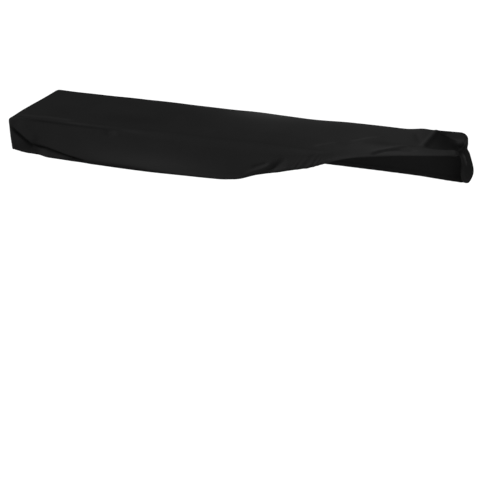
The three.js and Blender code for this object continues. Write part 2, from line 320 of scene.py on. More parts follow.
class Outline:
    """The cover's outline, as a table of sections through its edge.

    The columns of a row are the x, y and z of the point where the top turns down, those of the hem's point
    under it, the edge's rounding, and how far the side swells between them. The top's heights are those of
    its underside. Sections are straight from row to row, then eased.
    """

    EDGE = slice(0, 3)
    HEM = slice(3, 6)
    ROUNDING = 6
    BELLY = 7
    EASE_STEPS = 9
    ROUND_MOST = 0.45

    def __init__(self, sizes: CoverSizes) -> None:
        """Lays the rows of all sides end to end.

        Args:
            sizes: The cover's driving sizes.
        """
        self.sizes = sizes
        runs = {
            Side.FRONT: self.front_rows(),
            Side.RIGHT: self.right_rows(),
            Side.BACK: self.back_rows(),
            Side.LEFT: self.left_rows(),
        }
        self.rows = np.array([row for run in runs.values() for row in run])
        self.rows[:, self.EDGE] += (0.0, 0.0, sizes.middle)
        plan = self.rows[:, :2]
        steps = np.roll(plan, -1, axis=0) - plan
        reached = np.cumsum(np.hypot(steps[:, 0], steps[:, 1]))
        self.row_at = np.concatenate([[0.0], reached[:-1]])
        self.around = float(reached[-1])
        counts = np.cumsum([0] + [len(run) for run in runs.values()])
        corners = np.append(self.row_at, self.around)[counts]
        self.start = dict(zip(Side, corners[:-1]))
        self.end = dict(zip(Side, corners[1:]))

    def front_rows(self) -> list[Row]:
        """The front, from the left corner along the raised hem to the right one."""
        half, front, edge, bend = self.sizes.half, self.sizes.front, self.sizes.edge, self.sizes.edge_round
        return [
            (-half - 17, front - 4, -edge - 8, -half - 4, front - 5, -119, 12, 1),
            (-half + 25, front, -edge, -half + 34, front - 3, -129, bend, 4),
            (-544, front, -edge, -544, front - 2, -130, bend, 4),
            (-392, front, -edge, -392, front - 1, -135, bend + 4, 3),
            (-215, front, -edge, -215, front, -136, bend + 12, 3),
            (-60, front, -edge, -60, front, -133, bend + 16, 3),
            (20, front, -edge, 25, front, -131, bend + 16, 3),
            (70, front, -edge, 75, front, -124, bend + 16, 3),
            (118, front, -edge, 126, front, -107, bend + 16, 3),
            (170, front, -edge, 180, front, -92, bend + 16, 3),
            (225, front, -edge, 233, front, -79, bend + 12, 3),
            (280, front, -edge, 286, front, -67, bend + 8, 2),
            (330, front + 6, -16, 339, front + 2, -46, bend, 1),
            (365, front + 18, -14, 376, front + 5, -32, bend, 0),
            (400, front + 34, -12, 414, front + 10, -24, bend, 0),
            (443, front + 52, -9, 452, front + 20, -19, bend, 0),
            (475, front + 74, -7, 485, front + 35, -16, bend, 0),
            (503, front + 106, -3, 513, front + 48, -14, bend, 0),
            (530, front + 128, -1, 540, front + 60, -13, bend, 0),
            (560, front + 124, -2, 571, front + 71, -12, bend, 0),
            (600, front + 119, -3, 608, front + 82, -10, bend, 0),
        ]

    def right_rows(self) -> list[Row]:
        """The right end, from the raised corner past the hollow's mouth to the tail."""
        half, front, edge, bend = self.sizes.half, self.sizes.front, self.sizes.edge, self.sizes.edge_round
        hem = edge - self.sizes.back_drop
        return [
            (half - 13, front + 122, -2, half - 6, front + 96, -8, bend, 0),
            (half + 8, front + 143, -4, half + 15, front + 110, -10, bend, 0),
            (half + 6, front + 174, -13, half + 8, front + 163, -19, bend, 0),
            (half + 3, front + 202, -21, half + 2, front + 203, -30, bend, 0),
            (half + 3, front + 223, -22, half + 4, front + 222, -44, bend, 2),
            (half + 3, front + 238, -22, half + 6, front + 226, -80, bend, 5),
            (half + 5, front + 250, -20, half + 6, front + 200, -99, bend, 10),
            (half + 6, front + 262, -17, half + 9, front + 262, -126, bend, 13),
            (half + 8, front + 271, 1, half + 15, front + 280, hem - 3, 3, 15),
        ]

    def back_rows(self) -> list[Row]:
        """The back, from the tail to the left corner."""
        half, back, edge, bend = self.sizes.half, self.sizes.back, self.sizes.edge, self.sizes.edge_round
        hem = edge - self.sizes.back_drop
        return [
            (half + 6, back, 10, half + 20, back + 3, hem + 1, 4, 16),
            (half - 4, back, edge + 2, half + 5, back + 3, hem - 6, bend, 15),
            (half - 50, back, edge + 1, half - 48, back + 3, hem - 5, bend, 6),
            (half - 104, back, edge, half - 104, back + 3, hem - 2, bend, 3),
            (half - 122, back, edge + 3, half - 122, back + 3, hem - 1, bend, 3),
            (half - 170, back, edge - 3, half - 170, back + 2, hem, bend, 3),
            (180, back, edge - 5, 180, back + 2, hem + 2, bend, 3),
            (-300, back, edge, -300, back + 2, hem, bend, 3),
        ]

    def left_rows(self) -> list[Row]:
        """The left end, from the back corner to the front one."""
        half, front, back, edge = self.sizes.half, self.sizes.front, self.sizes.back, self.sizes.edge
        bend = self.sizes.edge_round
        hem = edge - self.sizes.back_drop
        return [
            (-half, back, edge, -half - 2, back + 2, hem - 2, bend, 4),
            (-half - 3, 0, 1, -half - 3, 0, hem + 1, bend, 3),
            (-half - 6, front / 2, -11, -half - 2, front / 2, hem + 3, bend, 2),
        ]

    def eased(self, along: Array) -> Array:
        """The sections at distances along the outline, each the mean of those within the softening length.

        Args:
            along: Distances along the outline.

        Returns:
            One row for each distance, with the table's columns.
        """
        offsets = np.linspace(-self.sizes.soften, self.sizes.soften, self.EASE_STEPS)
        spread = along[:, None] + offsets
        columns = [np.interp(spread, self.row_at, column, period=self.around) for column in self.rows.T]
        return np.stack(columns, axis=-1).mean(axis=1)

    def stations(self, along: Array) -> Stations:
        """The eased sections, the directions out of the cover and the rim of the top behind each edge.

        Args:
            along: Distances along the outline.

        Returns:
            The stations, in the order of the distances.
        """
        sections = self.eased(along)
        edge, hem = sections[:, self.EDGE], sections[:, self.HEM]
        step = self.eased(along + self.sizes.soften) - self.eased(along - self.sizes.soften)
        out = unit(np.stack([step[:, 1], -step[:, 0], np.zeros(len(along))], axis=1))
        drop = np.linalg.norm(hem - edge, axis=1)
        rounding = np.minimum(sections[:, self.ROUNDING], self.ROUND_MOST * drop)
        rim = edge - out * rounding[:, None]
        return Stations(along, edge, hem, rounding, sections[:, self.BELLY], out, rim)


@dataclass(frozen=True)
class HemGather:
    """The small gathers that the elastic draws in the hem, in millimetres.

    A sine along the outline, whose phase wanders by the sum of amount * sin(u / length + phase) over the rows
    of its table, where u is the sine's own angle. At the hem's edge it is as high as its side's height, less
    in places, and it dies out upwards as exp(-height / reach).
    """

    pitch: float = 27.0
    reach: float = 16.0
    uneven: float = 0.35
    uneven_length: float = 7.1

    WANDER = ((1.9, 5.3, 0.0), (1.1, 2.7, 1.0))
    HEIGHTS = {Side.FRONT: 0.2, Side.RIGHT: 0.3, Side.BACK: 0.7, Side.LEFT: 0.6}

    def lift(self, outline: Outline, along: Array, rise: Array) -> Array:
        """How far the gathers move the side outwards.

        Args:
            outline: The cover's outline.
            along: The columns' distances along it.
            rise: Heights over the hem's edge, as columns by rows.

        Returns:
            The move of each point.
        """
        ends = [outline.end[side] for side in Side]
        which = np.minimum(np.searchsorted(ends, along % outline.around), len(ends) - 1)
        height = np.array([self.HEIGHTS[side] for side in Side])[which]
        turns = 2.0 * math.pi * along / self.pitch
        wander = sum(amount * np.sin(turns / length + phase) for amount, length, phase in self.WANDER)
        less = 1.0 - self.uneven + self.uneven * np.sin(turns / self.uneven_length)
        wavy = height * np.sin(turns + wander) * less
        return wavy[:, None] * np.exp(-rise / self.reach)


@dataclass(frozen=True)
class HemSection:
    """The section of the turned hem: heights in heights of the hem, and the seam's depth in millimetres."""

    turn_low: float = 0.9
    turn_high: float = 1.12
    seam_at: float = 0.84
    seam_width: float = 0.05
    seam_depth: float = 0.22
    round_height: float = 0.14
    round_least: float = 0.3

    def half_thickness(self, sizes: CoverSizes, over_hem: Array) -> Array:
        """Half of the sheet's thickness.

        The cloth's own, easing to the hem's, less a seam of depth * exp(-((height - place) / width)^2). The
        lower edge is rounded as a quarter of an ellipse that starts at its least share.

        Args:
            sizes: The cover's driving sizes.
            over_hem: Heights over the hem's edge, in heights of the hem.

        Returns:
            The thickness on either side of the sheet's middle.
        """
        turned = 1.0 - smoothstep(over_hem, self.turn_low, self.turn_high)
        seam = self.seam_depth * np.exp(-(((over_hem - self.seam_at) / self.seam_width) ** 2))
        below = 1.0 - np.minimum(over_hem / self.round_height, 1.0)
        rounding = np.sqrt(np.clip(1.0 - below**2, 0.0, 1.0))
        half = (sizes.cloth + (sizes.hem - sizes.cloth) * turned) / 2 - seam
        return half * (self.round_least + (1.0 - self.round_least) * rounding)


@dataclass
class Sheet:
    """The cloth before it is folded and gets its thickness, in millimetres.

    The columns are the indices of the points of the side, from the rim to the hem's edge, and the ring is
    their stations. The heights are those of all points over the hem's edge, in heights of the hem.
    """

    points: Array
    faces: Array
    columns: Array
    ring: Stations
    heights: Array

    def directions(self, points: Array) -> Array:
        """The way out of the sheet at its moved points: the sum of the crossed diagonals of their faces."""
        corners = points[self.faces]
        normals = np.cross(corners[:, 2] - corners[:, 0], corners[:, 3] - corners[:, 1])
        total = np.zeros_like(points)
        for corner in self.faces.T:
            np.add.at(total, corner, normals)
        return unit(total)

    def shell(self) -> Array:
        """The faces of the closed shell: the outside, then the inside, and the strip under the hem."""
        inside = len(self.points)
        edge = self.columns[:, -1]
        after = np.roll(edge, -1)
        closing = np.stack([edge, edge + inside, after + inside, after], axis=-1)
        return np.concatenate([self.faces, self.faces[:, ::-1] + inside, closing])


@dataclass
class CoverSheet:
    """The whole cloth: a top, a side that hangs from its rim all the way round, and a turned hem.

    The spacing gives the width of the cells at distances along the front, in millimetres. The painted light
    and shade of the cloth's colour is at the plain level where no patch or fold paints it, and never over the
    palest.
    """

    sizes: CoverSizes = field(default_factory=CoverSizes)
    hollow: Hollow = field(default_factory=Hollow)
    gather: HemGather = field(default_factory=HemGather)
    section: HemSection = field(default_factory=HemSection)
    end_cells: int = 46
    round_cells: int = 6
    side_cells: int = 34
    end_reach: float = 0.125
    belly_low: float = 2.0
    hem_most: float = 0.4
    hem_rows: Row = (0.12, 0.24, 0.45, 0.7, 0.87, 0.95, 1.0)

    COLUMN_SAMPLES = 2000
    UNPAINTED_LEVEL = 0.4
    PALEST_PAINTED = 2.2
    SPACING = {0: 3.2, 230: 3.2, 330: 14.0, 640: 14.0, 720: 4.0, 840: 2.8, 1000: 2.8, 1040: 5.0, 1330: 5.0}

    def __post_init__(self) -> None:
        """Lays out the stations on the four sides."""
        self.outline = Outline(self.sizes)
        line = self.outline
        self.front_at = self.front_columns()
        right_at = np.linspace(line.start[Side.RIGHT], line.end[Side.RIGHT], self.end_cells + 1)
        left_at = np.linspace(line.end[Side.LEFT], line.start[Side.LEFT], self.end_cells + 1)
        front_x = np.interp(self.front_at, line.row_at, line.rows[:, 0])
        share = (front_x - front_x[0]) / (front_x[-1] - front_x[0])
        back_at = line.end[Side.BACK] + share * (line.start[Side.BACK] - line.end[Side.BACK])
        self.stations = {
            Side.FRONT: line.stations(self.front_at),
            Side.RIGHT: line.stations(right_at),
            Side.BACK: line.stations(back_at),
            Side.LEFT: line.stations(left_at),
        }

    def front_columns(self) -> Array:
        """Where the columns of cells lie along the front.

        The spacing is straight from place to place of its table, and the columns are at even steps of the sum
        of 1 / spacing.

        Returns:
            Distances along the outline, from the left corner to the right one.
        """
        start, end = self.outline.start[Side.FRONT], self.outline.end[Side.FRONT]
        along = np.linspace(start, end, self.COLUMN_SAMPLES)
        density = 1.0 / np.interp(along, list(self.SPACING), list(self.SPACING.values()))
        reached = np.concatenate([[0.0], np.cumsum((density[1:] + density[:-1]) / 2 * np.diff(along))])
        return np.interp(np.linspace(0.0, reached[-1], round(reached[-1]) + 1), reached, along)

    def folds(self) -> list[Fold]:
        """The main folds: the face, path, width and height of each."""
        half, front, back = self.sizes.half, self.sizes.front, self.sizes.back

        def at_front(*places: tuple[float, float]) -> tuple[Point, ...]:
            """A path on the front, from the x and z of its points."""
            return tuple((x, front, z) for x, z in places)

        tuck = at_front(
            (-half - 10, -40),
            (-650, -63),
            (-596, -98),
            (-548, -102),
            (-512, -111),
            (-470, -121),
            (-440, -126),
            (-400, -130),
        )
        brow = (
            (-655, front + 19, -14),
            (-592, front + 18, -14),
            (-553, front + 22, -14),
            (-455, front + 22, -14),
        )
        lift = at_front((82, -120), (96, -114), (124, -103), (154, -92), (178, -79), (196, -66), (222, -48))
        climb = at_front((90, -109), (112, -98), (146, -83), (182, -64))
        roll = ((442, -104, -11), (481, -75, -8), (501, -52, -5), (528, -25, -2), (560, -16, -2))
        trough = ((452, -114, -12), (476, -88, -9), (497, -67, -7), (519, -55, -5), (571, -40, -4))
        lobe = ((608, back, 11), (618, back, 8), (633, back, 0), (643, back, -4), (663, back, -11))
        ridge = (
            (half + 4, 74, -27),
            (half + 7, 86, -34),
            (half + 11, 94, -42),
            (half + 15, 97, -58),
            (half + 18, 99, -70),
        )
        crease = ((half + 4, 105, -23), (half + 6, 105, -31), (half + 10, 107, -40), (half + 15, 108, -58))
        # Each fold also paints light on its ridge and shade in its trough into the cloth's colour, by its
        # last setting.
        return [
            Fold(Face.FRONT, tuck, 4.5, -10, ends=0.15),
            Fold(Face.FRONT, at_front((-690, -132), (-540, -138)), 34, -12, ends=0.3),
            Fold(Face.FRONT, at_front((-650, -28), (-575, -84)), 16, 2),
            Fold(Face.TOP, brow, 8, 0.9, ends=0.15, tone=2.6),
            Fold(Face.TOP, ((-530, front + 4, -16), (-200, front + 3, -16)), 4.5, 0.8, tone=1.2),
            Fold(Face.FRONT, at_front((-660, -20), (-460, -22), (-230, -20)), 4.5, -1, tone=1.5),
            Fold(Face.FRONT, at_front((-345, -20), (-346, -46)), 7, -1.5, tone=0.6),
            Fold(Face.FRONT, at_front((-317, -22), (-320, -42)), 7, 1.6, tone=0.9),
            Fold(Face.FRONT, lift, 8, -4.5, ends=0.3),
            Fold(Face.FRONT, at_front((172, -80), (198, -62), (222, -46)), 10, -1.6),
            Fold(Face.FRONT, climb, 5, 3),
            Fold(Face.FRONT, at_front((112, -85), (168, -64)), 5, -1.8),
            Fold(Face.FRONT, at_front((178, -89), (230, -69)), 4.5, 1.8),
            Fold(Face.TOP, ((284, -104, -12), (323, -66, -8), (350, -50, -6)), 8, 2.0, tone=0.9),
            Fold(Face.TOP, ((366, -38, -5), (405, -2, 0), (452, 36, 4)), 8, 2.4, tone=0.9),
            Fold(Face.TOP, ((368, -84, -10), (384, -30, -4), (398, 20, 2)), 16, -1.4),
            Fold(Face.TOP, ((526, 104, 12), (560, 18, 2)), 8, -1.5),
            Fold(Face.TOP, ((572, -8, -1), (579, 142, 16)), 6, 4, ends=0.1),
            Fold(Face.TOP, roll, 8, 4),
            Fold(Face.TOP, trough, 7, -4, ends=0.15),
            Fold(Face.END, ((half + 8, 104, -21), (half + 7, back + 20, -27)), 9, -4, ends=0.1),
            Fold(Face.FRONT, lobe, 4, 1.6, ends=0.1, tone=1.0),
            Fold(Face.END, ridge, 4.5, 5.5, tone=1.1),
            Fold(Face.END, crease, 5.5, -5.5, ends=0.3, tone=0.35),
        ]

    def painted_light_patches(self) -> list[PaintedLightPatch]:
        """The patches of painted light and shade: painted highlights along the back edge and on the raised
        strip and tail, painted shade in the hollow, on its wall, along the front hem and under the tuck, and
        a paler colour where the cloth is stretched: the centre, reach and amount of each patch.
        """
        front, back = self.sizes.front, self.sizes.back
        return [
            PaintedLightPatch((460, 0, 0), (210, 220, 90), 0.4),
            PaintedLightPatch((522, -76, -12), (92, 44, 40), 0.48),
            PaintedLightPatch((465, -25, 0), (48, 20, 20), -0.32),
            PaintedLightPatch((170, back, 12), (300, 55, 40), 0.7),
            PaintedLightPatch((56, back, 14), (78, 58, 40), 1.15),
            PaintedLightPatch((-200, front, -114), (200, 60, 30), 0.34),
            PaintedLightPatch((60, front, -100), (90, 60, 50), -0.12),
            PaintedLightPatch((-330, front, -131), (135, 60, 7), -1.15),
            PaintedLightPatch((-602, front, -97), (36, 60, 14), -0.25),
            PaintedLightPatch((-620, front, -70), (110, 60, 60), -0.14),
            PaintedLightPatch((40, front, -15), (320, 22, 16), -0.12),
            PaintedLightPatch((110, 50, 6), (140, 95, 40), 0.27),
            PaintedLightPatch((-310, -65, -5), (90, 50, 30), -0.14),
            PaintedLightPatch((622, 92, -6), (46, 56, 40), -0.5),
            PaintedLightPatch((648, 131, 0), (26, 14, 26), 0.08),
            PaintedLightPatch((603, 130, 8), (19, 22, 22), -0.5),
            PaintedLightPatch((678, 128, -2), (16, 26, 18), 0.6),
            PaintedLightPatch((676, 56, -20), (26, 40, 14), -0.25),
            PaintedLightPatch((660, 4, -7), (16, 24, 9), 0.6),
            PaintedLightPatch((673, -23, -6), (11, 17, 8), 0.6),
            PaintedLightPatch((664, 114, -15), (12, 12, 8), -0.5),
            PaintedLightPatch((690, 110, -50), (50, 60, 28), 0.15),
        ]

    def puckers(self) -> list[Pucker]:
        """The gathers where the hem starts to climb."""
        return [Pucker(start=230, end=335, pitch=17, height=1.8, reach=14, slant=0.8, wander=3.0)]

    def waves(self) -> list[Wave]:
        """The low swells that keep the taut cloth from being dead flat."""
        return [
            Wave((1.0, 0.35, 0.2), 310.0, 0.7, 0.4),
            Wave((0.8, -0.6, 0.5), 190.0, 0.45, 2.1),
            Wave((0.3, 1.0, -0.8), 145.0, 0.35, 4.0),
            Wave((1.0, -0.2, 1.0), 96.0, 0.22, 1.3),
        ]

    def top_height(self, x: Array, y: Array) -> Array:
        """The height of the top before the rise or dip of its edges: an even slope less the hollow."""
        return self.sizes.middle + self.sizes.slope * y - self.hollow.sink(x, y)

    def over_top(self, stations: Stations) -> Array:
        """How far the edge at each station stands over the top's own height at its rim."""
        return stations.edge[:, 2] - self.top_height(stations.rim[:, 0], stations.rim[:, 1])

    def top(self) -> Array:
        """The top as a grid of points, from the front row to the back row and from left to right.

        Straight lines join the rims of front and back. The swell of each end is added, fading out along the
        length. The rise of the front and back edges over the top's own height is added next, fading out
        inwards, and last what is still missing to the edge of the right end.

        Returns:
            The points, as rows by columns by three.
        """
        front, back = self.stations[Side.FRONT], self.stations[Side.BACK]
        right, left = self.stations[Side.RIGHT], self.stations[Side.LEFT]
        along = (self.front_at - self.front_at[0]) / (self.front_at[-1] - self.front_at[0])
        across = np.linspace(0.0, 1.0, self.end_cells + 1)[:, None, None]
        flat = front.rim * (1.0 - across) + back.rim * across
        left_swell = (left.rim - flat[:, 0])[:, None] * fade(along / self.end_reach)[:, None]
        right_swell = (right.rim - flat[:, -1])[:, None] * fade((1.0 - along) / self.end_reach)[:, None]
        grid = flat + left_swell + right_swell
        x, y = grid[..., 0], grid[..., 1]
        height = self.top_height(x, y)
        height += self.over_top(front) * fade((y - front.rim[:, 1]) / self.sizes.front_fade)
        height += self.over_top(back) * fade((back.rim[:, 1] - y) / self.sizes.back_fade)
        missing = right.edge[:, 2] - height[:, -1]
        grid[..., 2] = height + missing[:, None] * fade((right.rim[:, :1] - x) / self.sizes.right_fade)
        return grid

    def ring(self) -> tuple[Stations, Array]:
        """The columns of the side all the way round, anticlockwise from the left front corner.

        Returns:
            Their stations, and the index in the top's grid that each hangs from.
        """
        wide, deep = len(self.front_at), self.end_cells + 1
        index = np.arange(wide * deep).reshape(deep, wide)
        parts = [
            self.stations[Side.FRONT].taken(slice(None, -1)),
            self.stations[Side.RIGHT].taken(slice(None, -1)),
            self.stations[Side.BACK].taken(slice(None, 0, -1)),
            self.stations[Side.LEFT].taken(slice(None, 0, -1)),
        ]
        tops = [index[0, :-1], index[:-1, -1], index[-1, :0:-1], index[:0:-1, 0]]
        return Stations.joined(parts), np.concatenate(tops)

    def side(self, ring: Stations, rims: Array) -> tuple[Array, Array]:
        """The side as columns of points, from under the rim down to the hem's edge.

        A quadratic curve turns from the rim about the edge, and a straight line goes on to the hem, with a
        swell of belly * sin(pi * share^2) outwards, which is widest low down.

        Args:
            ring: The stations of the columns.
            rims: The top's points that the columns hang from.

        Returns:
            The points, as columns by rows by three, and each point's height over the hem's edge along the
            cloth, in heights of the hem.
        """
        fall = ring.hem - ring.edge
        drop = np.linalg.norm(fall, axis=1, keepdims=True)
        foot = ring.edge + fall * ring.rounding[:, None] / drop
        turn = np.linspace(0.0, 1.0, self.round_cells + 1)[1:, None]
        corner = (
            (1.0 - turn) ** 2 * rims[:, None]
            + 2.0 * turn * (1.0 - turn) * ring.edge[:, None]
            + turn**2 * foot[:, None]
        )
        straight = drop - ring.rounding[:, None]
        hem_start = 1.0 - np.minimum(self.sizes.hem_height / straight, self.hem_most)
        upper = hem_start * np.linspace(0.0, 1.0, self.side_cells + 1)[1:]
        lower = hem_start + (1.0 - hem_start) * np.array(self.hem_rows)
        share = np.concatenate([upper, lower], axis=1)
        swell = ring.out[:, None] * (ring.belly[:, None] * np.sin(np.pi * share**self.belly_low))[..., None]
        hanging = foot[:, None] + (ring.hem - foot)[:, None] * share[..., None] + swell
        over_hem = (1.0 - share) / (1.0 - hem_start)
        above = np.repeat(over_hem[:, :1] + 1.0, self.round_cells, axis=1)
        return np.concatenate([corner, hanging], axis=1), np.concatenate([above, over_hem], axis=1)

    def sheet(self) -> Sheet:
        """Joins the top and the side, with its gathers, into one sheet."""
        grid = self.top()
        deep, wide = grid.shape[:2]
        top = grid.reshape(-1, 3)
        ring, hung_from = self.ring()
        side, over_hem = self.side(ring, top[hung_from])
        rise = over_hem * self.sizes.hem_height
        on_front = (ring.along < self.outline.end[Side.FRONT])[:, None]
        puckered = sum(row.lift(side[..., 0], rise) for row in self.puckers()) * on_front
        gathered = self.gather.lift(self.outline, ring.along, rise) + puckered
        side = side + ring.out[:, None] * gathered[..., None]
        points = np.concatenate([top, side.reshape(-1, 3)])
        hanging = len(top) + np.arange(side[..., 0].size).reshape(side.shape[:2])
        columns = np.concatenate([hung_from[:, None], hanging], axis=1)
        index = np.arange(len(top)).reshape(deep, wide)
        top_faces = np.stack([index[:-1, :-1], index[:-1, 1:], index[1:, 1:], index[1:, :-1]], axis=-1)
        after = np.roll(columns, -1, axis=0)
        side_faces = np.stack([columns[:, :-1], columns[:, 1:], after[:, 1:], after[:, :-1]], axis=-1)
        faces = np.concatenate([top_faces.reshape(-1, 4), side_faces.reshape(-1, 4)])
        heights = np.concatenate([np.full(len(top), over_hem.max() + 1.0), over_hem.ravel()])
        return Sheet(points, faces, columns, ring, heights)

    def build(self, name: str, material: bpy.types.Material) -> bpy.types.Object:
        """Works out the sheet, folds it, gives it its thickness and puts it into a mesh.

        Args:
            name: The name of the new object.
            material: The cloth's finish.

        Returns:
            The object, at the origin, as one closed shell.
        """
        sheet = self.sheet()
        points = sheet.points
        out = sheet.directions(points)
        folds = [(fold, fold.lift(points, out)) for fold in self.folds()]
        lift = sum(rise for _, rise in folds) + sum(wave.lift(points) for wave in self.waves())
        folded = points + out * lift[:, None]
        spread = sheet.directions(folded) * self.section.half_thickness(self.sizes, sheet.heights)[:, None]
        vertices = np.concatenate([folded + spread, folded - spread]) * MM
        shell = sheet.shell()

        mesh = bpy.data.meshes.new(name)
        mesh.from_pydata(vertices.tolist(), [], shell.tolist())
        mesh.polygons.foreach_set("use_smooth", np.ones(len(shell), dtype=bool))
        self.add_maps(mesh, shell, sheet)
        # Painted light and shade from the patches and the folds, on the cloth's plain level, stored for the
        # finish.
        strain_and_painted_light = self.UNPAINTED_LEVEL + sum(patch.at(points) for patch in self.painted_light_patches())
        strain_and_painted_light += sum(fold.tone * rise / fold.width for fold, rise in folds)
        strain_and_painted_light = np.clip(strain_and_painted_light, 0.0, self.PALEST_PAINTED)
        mesh.attributes.new("strain_and_painted_light", "FLOAT", "POINT").data.foreach_set("value", np.tile(strain_and_painted_light, 2))
        mesh.materials.append(material)
        mesh.update()
        piece = bpy.data.objects.new(name, mesh)
        bpy.context.scene.collection.objects.link(piece)
        return piece

    def add_maps(self, mesh: bpy.types.Mesh, shell: Array, sheet: Sheet) -> None:
        """Adds the two maps that the finish follows, in metres.

        The cloth map unfolds the side outwards, flat, from the rim of the top in plan. The hem map gives the
        distance along the outline and the height over the hem's edge.

        Args:
            mesh: The mesh of the closed shell.
            shell: Its faces.
            sheet: The sheet that the shell was made from.
        """
        points, columns, ring = sheet.points, sheet.columns, sheet.ring
        flat = points[:, :2].copy()
        steps = np.linalg.norm(np.diff(points[columns], axis=1), axis=2)
        down = np.cumsum(steps, axis=1)
        flat[columns[:, 1:]] = points[columns[:, :1], :2] + ring.out[:, None, :2] * down[..., None]
        along = np.zeros(len(points))
        along[columns] = (ring.along % self.outline.around)[:, None]
        hem = np.stack([along, sheet.heights * self.sizes.hem_height], axis=1)
        corners = shell % len(points)
        hem_corners = hem[corners]
        last = np.ptp(hem_corners[..., 0], axis=1) > self.outline.around / 2
        behind = hem_corners[..., 0] < self.outline.around / 2
        hem_corners[..., 0] += self.outline.around * (last[:, None] & behind)
        for layer, values in (("cloth", flat[corners]), ("hem", hem_corners)):
            mesh.uv_layers.new(name=layer).data.foreach_set("uv", (values * MM).astype(np.float32).ravel())


class Graph:
    """A node tree that is filled node by node."""

    def __init__(self, tree: bpy.types.NodeTree) -> None:
        """Keeps the tree that the nodes go into."""
        self.tree = tree

    @classmethod
    def group(cls, name: str, numbers: dict[str, float], result: str) -> Graph:
        """Starts a node group that takes a place and some numbers, and gives one number.

        Args:
            name: The group's name.
            numbers: The names of the numbers, each with its usual value.
            result: The name of the number that it gives.

        Returns:
            The graph of the new group, without nodes.
        """
        tree = bpy.data.node_groups.new(name, "ShaderNodeTree")
        tree.interface.new_socket("Place", in_out="INPUT", socket_type="NodeSocketVector")
        for number, usual in numbers.items():
            socket = tree.interface.new_socket(number, in_out="INPUT", socket_type="NodeSocketFloat")
            socket.default_value = usual
        tree.interface.new_socket(result, in_out="OUTPUT", socket_type="NodeSocketFloat")
        return cls(tree)

    def add(self, kind: str, inputs: dict[str | int, Any] | None = None, **settings: Any) -> bpy.types.Node:
        """Adds a node.

        Args:
            kind: The node's Blender type.
            inputs: What each input gets, by its name or place: a socket to link from, or a plain value.
            **settings: The node's own properties.

        Returns:
            The node.
        """
        node = self.tree.nodes.new(kind)
        for key, value in settings.items():
            setattr(node, key, value)
        for key, value in (inputs or {}).items():
            if isinstance(value, bpy.types.NodeSocket):
                self.tree.links.new(value, node.inputs[key])
            else:
                node.inputs[key].default_value = value
        return node

    def math(self, operation: str, *values: Any) -> bpy.types.NodeSocket:
        """A Math node on one to three values or sockets, as its output socket."""
        return self.add("ShaderNodeMath", dict(enumerate(values)), operation=operation).outputs[0]


class KnitGroup:
    """A fine jersey knit, as a node group that gives its height from places on the cloth."""

    NAME = "Jersey knit"
    NUMBERS = {"Wale": 0.0011, "Course": 0.0009, "Slant": 0.9}

    @classmethod
    def make(cls) -> bpy.types.NodeTree:
        """Builds the group.

        Across a wale two legs rise and fall, and along it each leg repeats once a course, slanting away from
        the middle of the wale: height = (1 - |4|x| - 1|) * (0.5 + 0.5 cos(2 pi (y + slant |x|))), where x is
        the place in the wale from -0.5 to 0.5 and y the place along it in courses.

        Returns:
            The group.
        """
        graph = Graph.group(cls.NAME, cls.NUMBERS, "Height")
        given = graph.add("NodeGroupInput").outputs
        place = graph.add("ShaderNodeSeparateXYZ", {0: given["Place"]}).outputs
        wales = graph.math("DIVIDE", place["X"], given["Wale"])
        courses = graph.math("DIVIDE", place["Y"], given["Course"])
        side = graph.math("ABSOLUTE", graph.math("SUBTRACT", graph.math("FRACT", wales), 0.5))
        ramp = graph.math("ABSOLUTE", graph.math("SUBTRACT", graph.math("MULTIPLY", side, 4.0), 1.0))
        leg = graph.math("SUBTRACT", 1.0, ramp)
        turn = graph.math("ADD", courses, graph.math("MULTIPLY", side, given["Slant"]))
        wave = graph.math("COSINE", graph.math("MULTIPLY", turn, 2.0 * math.pi))
        stitch = graph.math("MULTIPLY_ADD", wave, 0.5, 0.5)
        graph.add("NodeGroupOutput", {"Height": graph.math("MULTIPLY", leg, stitch)})
        return graph.tree


class HemStitchGroup:
    """A row of machine stitches along the hem, as a node group that gives a mask of its thread."""

    NAME = "Hem stitch"
    NUMBERS = {"Row": 0.01, "Width": 0.0009, "Stitch": 0.0035, "Part": 0.4, "Sharpness": 8.0}

    @classmethod
    def make(cls) -> bpy.types.NodeTree:
        """Builds the group.

        The thread shows where the place lies within half its width of the row, and in the middle part of each
        stitch, with soft ends: mask = clamp(1 - |height - row| / half width) * clamp(sharpness (part - |x|)),
        where x is the place in the stitch from its middle, in stitches.

        Returns:
            The group.
        """
        graph = Graph.group(cls.NAME, cls.NUMBERS, "Thread")
        given = graph.add("NodeGroupInput").outputs
        place = graph.add("ShaderNodeSeparateXYZ", {0: given["Place"]}).outputs
        off_row = graph.math("ABSOLUTE", graph.math("SUBTRACT", place["Y"], given["Row"]))
        half_width = graph.math("MULTIPLY", given["Width"], 0.5)
        over = graph.math("SUBTRACT", 1.0, graph.math("DIVIDE", off_row, half_width))
        in_row = graph.math("MAXIMUM", over, 0.0)
        part = graph.math("FRACT", graph.math("DIVIDE", place["X"], given["Stitch"]))
        from_middle = graph.math("ABSOLUTE", graph.math("SUBTRACT", part, 0.5))
        inner = graph.math("SUBTRACT", given["Part"], from_middle)
        sharp = graph.math("MULTIPLY", inner, given["Sharpness"])
        in_stitch = graph.math("MINIMUM", graph.math("MAXIMUM", sharp, 0.0), 1.0)
        graph.add("NodeGroupOutput", {"Thread": graph.math("MULTIPLY", in_row, in_stitch)})
        return graph.tree


